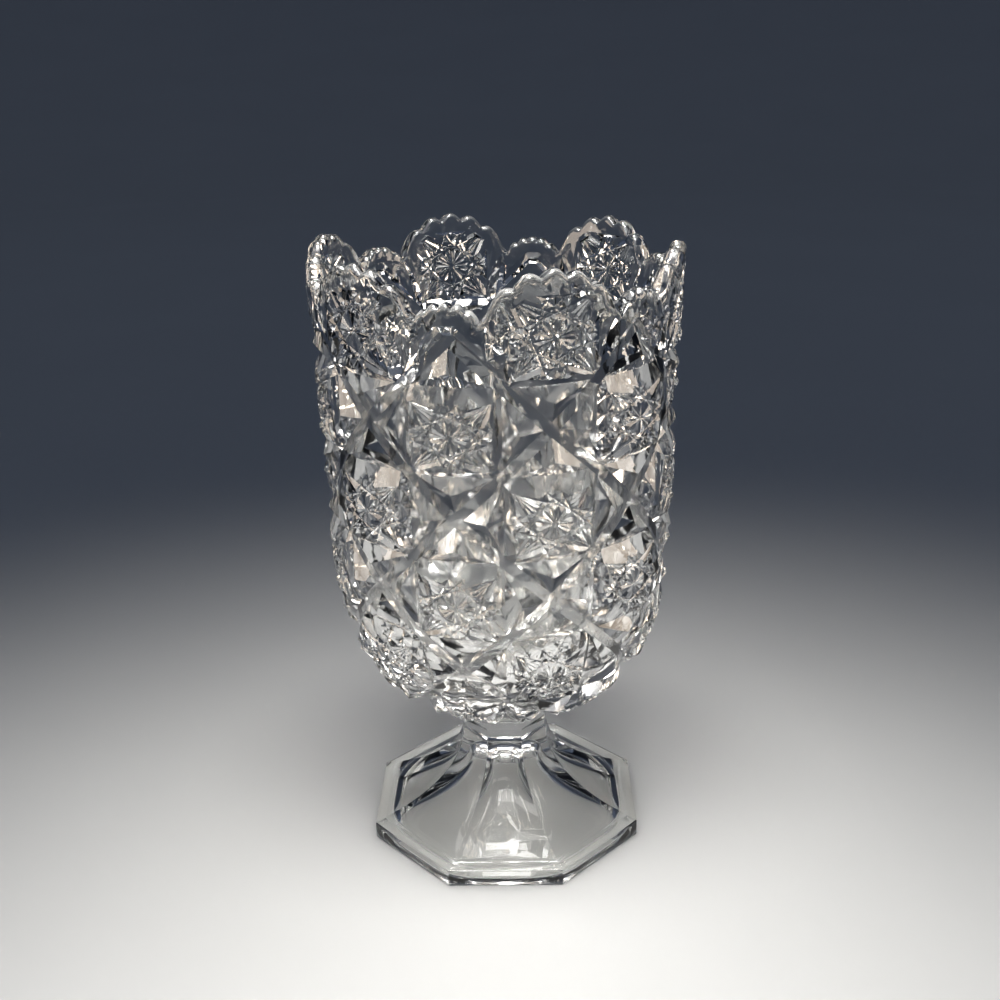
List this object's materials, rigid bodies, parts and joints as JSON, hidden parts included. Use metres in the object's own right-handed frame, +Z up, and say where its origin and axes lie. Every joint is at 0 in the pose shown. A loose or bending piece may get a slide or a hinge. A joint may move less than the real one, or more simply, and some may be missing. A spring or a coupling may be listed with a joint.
{
  "type": "pedestal vase",
  "caption": "Clear pressed glass vase: a tall round bowl with a pressed pattern of stars and crosses and a scalloped rim, on a short stem and an octagonal foot.",
  "frame": {"origin": "middle of the foot's resting face, on the surface that the vase stands on", "axes": "+Z up through the middle of the bowl; one flat of the eight-sided foot faces the front, -Y"},
  "size_m": [0.101, 0.1008, 0.1782],
  "materials": {
    "clear_glass": "clear colourless pressed glass, fire-polished, with crisp pressed facets and a very faint warm grey cast"
  },
  "bodies": {
    "root": {"foot": "clear_glass", "stem": "clear_glass", "bowl": "clear_glass"}
  },
  "joints": []
}
